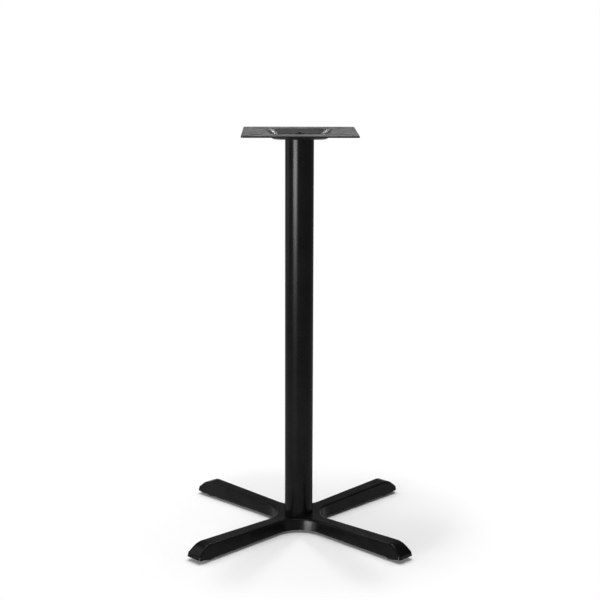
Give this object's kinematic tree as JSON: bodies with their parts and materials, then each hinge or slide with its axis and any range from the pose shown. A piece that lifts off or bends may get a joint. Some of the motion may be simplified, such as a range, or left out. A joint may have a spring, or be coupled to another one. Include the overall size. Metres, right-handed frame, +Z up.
{
  "type": "four star table base",
  "caption": "Star-shaped cast foot on levelling glides, a round column and a square top plate with a dish and slots, to carry a bar-height table top.",
  "frame": {"origin": "on the floor, under the column's axis", "axes": "+Z up the column; the plate's sides run along X and Y, the arms point to its corners, and the picture looks along +Y"},
  "size_m": [0.5824, 0.5824, 1.085],
  "materials": {
    "foot_coat": "black powder coat, satin",
    "column_coat": "black powder coat, satin",
    "plate_coat": "black powder coat, satin",
    "bare_steel": "plain steel",
    "black_oxide": "black oxide on steel, oiled",
    "zinc": "zinc plated",
    "nylon": "moulded nylon"
  },
  "bodies": {
    "base": {"star_foot": "foot_coat", "column_tube": "column_coat", "top_plate": "plate_coat", "top_centring_ring": "bare_steel", "tie_rod": "black_oxide", "top_washer": "black_oxide", "top_nut": "black_oxide", "bottom_washer": "black_oxide", "bottom_spring_washer": "black_oxide", "bottom_nut": "black_oxide"},
    "glide_front_left": {"glide_stem_front_left": "zinc", "glide_pad_front_left": "nylon"},
    "glide_front_right": {"glide_stem_front_right": "zinc", "glide_pad_front_right": "nylon"},
    "glide_back_left": {"glide_stem_back_left": "zinc", "glide_pad_back_left": "nylon"},
    "glide_back_right": {"glide_stem_back_right": "zinc", "glide_pad_back_right": "nylon"}
  },
  "joints": [
    {"name": "glide_front_left_travel", "type": "slide", "parent": "base", "child": "glide_front_left", "axis": [0, 0, -1], "range_m": [0, 0.012]},
    {"name": "glide_front_right_travel", "type": "slide", "parent": "base", "child": "glide_front_right", "axis": [0, 0, -1], "range_m": [0, 0.012]},
    {"name": "glide_back_left_travel", "type": "slide", "parent": "base", "child": "glide_back_left", "axis": [0, 0, -1], "range_m": [0, 0.012]},
    {"name": "glide_back_right_travel", "type": "slide", "parent": "base", "child": "glide_back_right", "axis": [0, 0, -1], "range_m": [0, 0.012]}
  ]
}
